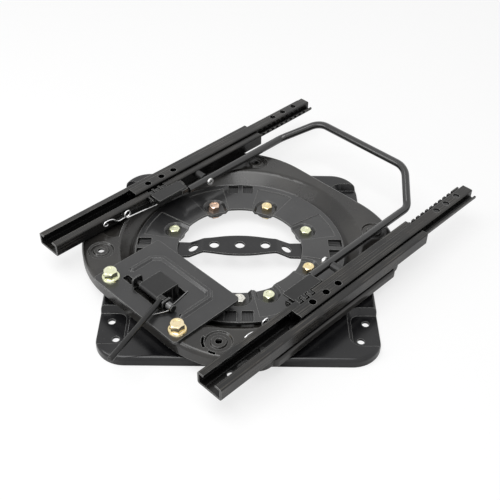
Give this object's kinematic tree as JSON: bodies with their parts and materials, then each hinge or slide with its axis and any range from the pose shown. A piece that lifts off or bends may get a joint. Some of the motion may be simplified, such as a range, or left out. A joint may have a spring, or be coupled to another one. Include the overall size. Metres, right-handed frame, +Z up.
{
  "type": "swivel seat base",
  "caption": "Turntable seat base with a pressed plate turning in a bolted clamp ring, a spring lock with a side lever, and toothed seat slide rails released by a tube handle.",
  "frame": {"origin": "on the swivel axis, at the underside of the base plate", "axes": "+Z up along the swivel axis, +X to the right and +Y to the back of the base; the rails stand at 45 degrees between them"},
  "size_m": [0.5449, 0.5591, 0.0755],
  "materials": {
    "black_coat": "satin black coat",
    "satin_coat": "satin black coat",
    "rail_coat": "satin black coat",
    "glide_plastic": "ribbed",
    "yellow_zinc": "yellow zinc plate",
    "white_zinc": "bright zinc plate",
    "spring_wire": "plain wire",
    "ball_steel": "greased steel"
  },
  "bodies": {
    "base": {"base_plate": "black_coat", "cross_strap": "black_coat", "clamp_ring": "satin_coat", "lower_glide_ring": "glide_plastic", "upper_glide_ring": "glide_plastic", "ring_bolts": "yellow_zinc", "front_ring_bolt": "white_zinc", "ring_nuts": "yellow_zinc"},
    "swivel": {"swivel_plate": "satin_coat", "lock_plate": "satin_coat", "lock_plate_bolts": "yellow_zinc", "lock_plate_nuts": "yellow_zinc", "latch_pin": "black_coat", "latch_spring": "spring_wire", "lower_rail_far": "rail_coat", "lower_rail_near": "rail_coat", "rail_rivets_far": "rail_coat", "rail_rivets_near": "rail_coat", "handle_pin_far": "white_zinc", "handle_pin_near": "white_zinc", "rail_latch_pin_far": "black_coat", "rail_latch_pin_near": "black_coat", "handle_return_spring_far": "white_zinc", "handle_return_spring_near": "white_zinc"},
    "lever": {"lock_pawl": "black_coat", "release_lever": "black_coat"},
    "upper_far": {"upper_rail_far": "rail_coat"},
    "upper_near": {"upper_rail_near": "rail_coat"},
    "balls_far": {"ball_cage_far": "ball_steel", "rail_balls_far": "ball_steel"},
    "balls_near": {"ball_cage_near": "ball_steel", "rail_balls_near": "ball_steel"},
    "handle": {"handle": "black_coat"},
    "latch_far": {"rail_latch_far": "black_coat"},
    "latch_near": {"rail_latch_near": "black_coat"}
  },
  "joints": [
    {"name": "swivel_turn", "type": "hinge", "parent": "base", "child": "swivel", "pos_m": [0, 0, 0.0175], "axis": [0, 0, 1], "continuous": true},
    {"name": "lock_release", "type": "hinge", "parent": "swivel", "child": "lever", "pos_m": [-0.0997, -0.0997, 0.043], "axis": [0.7071, -0.7071, 0], "range_deg": [0, 6], "stiffness_Nm_per_rad": 1, "springref_deg": -17.19, "deforming": ["latch_spring"]},
    {"name": "rail_slide", "type": "slide", "parent": "swivel", "child": "upper_near", "axis": [0.7071, 0.7071, 0], "range_m": [-0.11, 0.03]},
    {"name": "rail_slide_far", "type": "slide", "parent": "swivel", "child": "upper_far", "axis": [0.7071, 0.7071, 0], "range_m": [-0.11, 0.03]},
    {"name": "balls_roll_near", "type": "slide", "parent": "swivel", "child": "balls_near", "axis": [0.7071, 0.7071, 0], "range_m": [-0.055, 0.015]},
    {"name": "balls_roll_far", "type": "slide", "parent": "swivel", "child": "balls_far", "axis": [0.7071, 0.7071, 0], "range_m": [-0.055, 0.015]},
    {"name": "handle_lift", "type": "hinge", "parent": "swivel", "child": "handle", "pos_m": [0.03005, 0.03005, 0.045], "axis": [0.6752, -0.7377, 0], "range_deg": [0, 5], "stiffness_Nm_per_rad": 4, "springref_deg": -17.19, "deforming": ["handle_return_spring_far", "handle_return_spring_near"]},
    {"name": "latch_turn_far", "type": "hinge", "parent": "swivel", "child": "latch_far", "pos_m": [-0.09475, 0.08061, 0.046], "axis": [0.7071, 0.7071, 0], "range_deg": [0, 11.5]},
    {"name": "latch_turn_near", "type": "hinge", "parent": "swivel", "child": "latch_near", "pos_m": [0.07354, -0.10182, 0.046], "axis": [-0.7071, -0.7071, 0], "range_deg": [0, 11.5]}
  ],
  "couplings": [
    {"joint": "rail_slide_far", "follows": "rail_slide", "ratio": 1},
    {"joint": "balls_roll_near", "follows": "rail_slide", "ratio": 0.5},
    {"joint": "balls_roll_far", "follows": "rail_slide", "ratio": 0.5},
    {"joint": "latch_turn_far", "follows": "handle_lift", "ratio": 2.25},
    {"joint": "latch_turn_near", "follows": "handle_lift", "ratio": 2.25}
  ]
}
